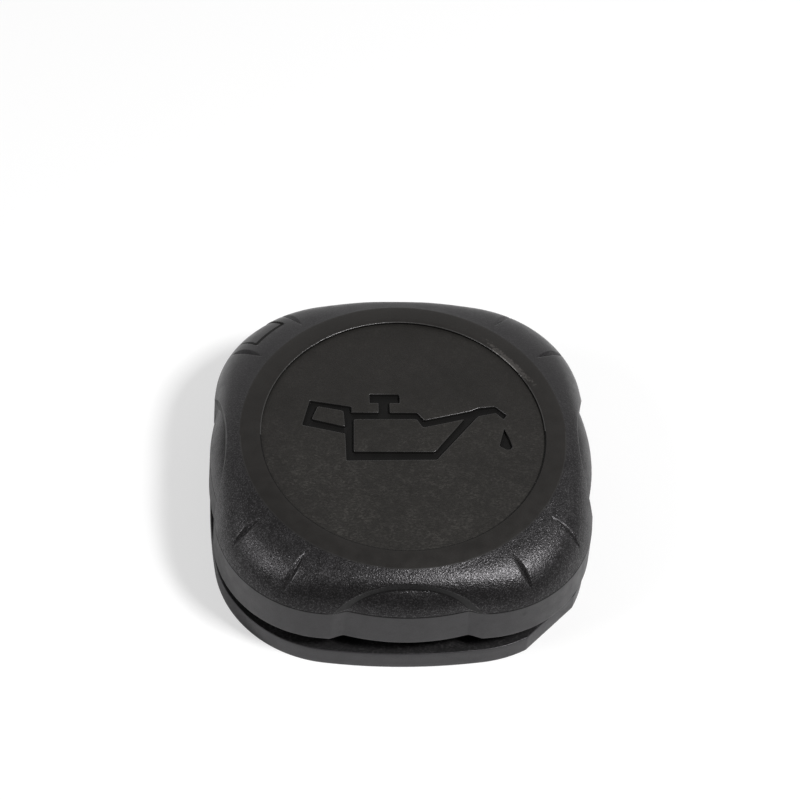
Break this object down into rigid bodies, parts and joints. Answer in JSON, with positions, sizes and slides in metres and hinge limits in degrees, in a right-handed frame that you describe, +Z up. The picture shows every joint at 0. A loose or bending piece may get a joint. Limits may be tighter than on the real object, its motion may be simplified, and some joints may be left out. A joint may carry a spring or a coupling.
{
  "type": "oil filler cap",
  "caption": "Rounded-square engine oil filler cap with finger scallops, an engraved disc, a base plate and a bayonet socket with a sealing ring inside.",
  "frame": {"origin": "centre of the base plate's underside, on the cap's turning axis", "axes": "+Z up, out of the engraved top face; -Y towards the side that reads as the front; +X to the right of it"},
  "size_m": [0.0724, 0.0724, 0.0244],
  "materials": {
    "grip_plastic": "spark-eroded grain on the shoulder and disc, satin on the walls",
    "carrier_plastic": "satin sides, grained top",
    "seal_rubber": "smooth moulded rubber"
  },
  "bodies": {
    "root": {"grip": "grip_plastic", "carrier": "carrier_plastic", "seal_ring": "seal_rubber"}
  },
  "joints": []
}
